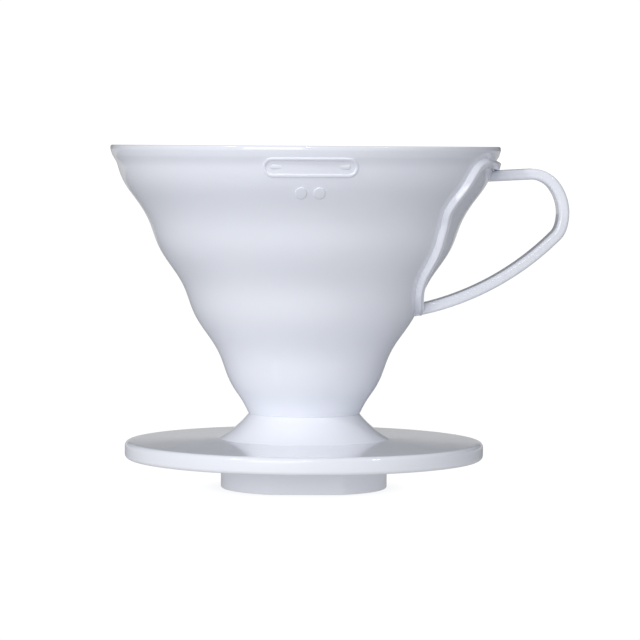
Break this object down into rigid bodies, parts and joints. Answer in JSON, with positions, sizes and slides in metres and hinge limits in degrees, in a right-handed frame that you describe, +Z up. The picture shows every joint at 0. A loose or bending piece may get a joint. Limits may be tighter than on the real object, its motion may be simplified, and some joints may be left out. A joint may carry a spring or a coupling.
{
  "type": "pour over dripper",
  "caption": "Wavy plastic cone for brewing coffee through a paper filter, with spiral inner ribs, a strap handle and a saucer base that sits on a cup.",
  "frame": {"origin": "on the cone's axis, in the plane of the locating ring's foot", "axes": "+Z up along the cone's axis, +X towards the handle"},
  "size_m": [0.1365, 0.1163, 0.102],
  "materials": {
    "white_polypropylene": "gloss"
  },
  "bodies": {
    "root": {"cone_wall": "white_polypropylene", "outlet_spout": "white_polypropylene", "long_ribs": "white_polypropylene", "short_ribs": "white_polypropylene", "handle_loop": "white_polypropylene", "handle_foot": "white_polypropylene", "front_emblem": "white_polypropylene", "size_pips": "white_polypropylene", "base_collar": "white_polypropylene", "base_plate": "white_polypropylene", "plate_edge": "white_polypropylene", "locating_ring": "white_polypropylene"}
  },
  "joints": []
}
